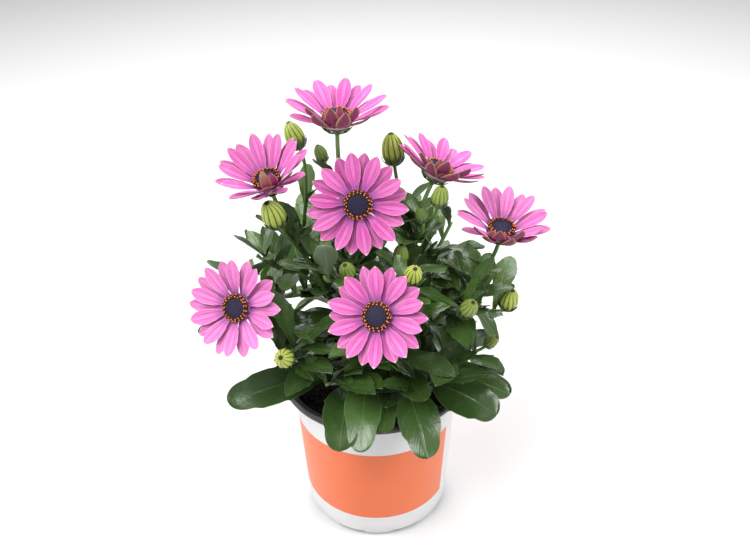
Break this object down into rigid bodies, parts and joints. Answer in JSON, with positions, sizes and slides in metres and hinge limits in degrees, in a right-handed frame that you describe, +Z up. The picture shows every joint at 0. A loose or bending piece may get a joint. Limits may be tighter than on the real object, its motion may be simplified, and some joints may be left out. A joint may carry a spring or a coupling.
{
  "type": "potted osteospermum",
  "caption": "Flowering bedding plant with daisy-like pink blooms, buds and toothed leaves, standing in a round plastic nursery pot with a rolled rim.",
  "frame": {"origin": "middle of the flat pad under the pot, on the surface that it stands on", "axes": "+Z up along the pot's axis; -Y is the pictured side, +X to its right"},
  "size_m": [0.2001, 0.1629, 0.2929],
  "materials": {
    "pot": "white thermoformed plastic, black inside and on the rim, with a plain orange band",
    "soil": "dark moist peat",
    "foliage": "fleshy green leaf with a soft shine",
    "petals": "silky pink petal",
    "disc": "dark blue-violet florets with orange pollen"
  },
  "bodies": {
    "root": {"pot": "pot", "soil": "soil", "stem_left": "foliage", "stem_upper_left": "foliage", "stem_top": "foliage", "stem_center": "foliage", "stem_upper_right": "foliage", "stem_right": "foliage", "stem_low_front": "foliage", "stem_right_low": "foliage", "stem_back_left": "foliage", "stem_back_right": "foliage", "rays_top": "petals", "disc_top": "disc", "rays_center": "petals", "disc_center": "disc", "rays_low_front": "petals", "disc_low_front": "disc", "rays_left": "petals", "disc_left": "disc", "rays_upper_left": "petals", "disc_upper_left": "disc", "rays_upper_right": "petals", "disc_upper_right": "disc", "rays_right": "petals", "disc_right": "disc"}
  },
  "joints": []
}
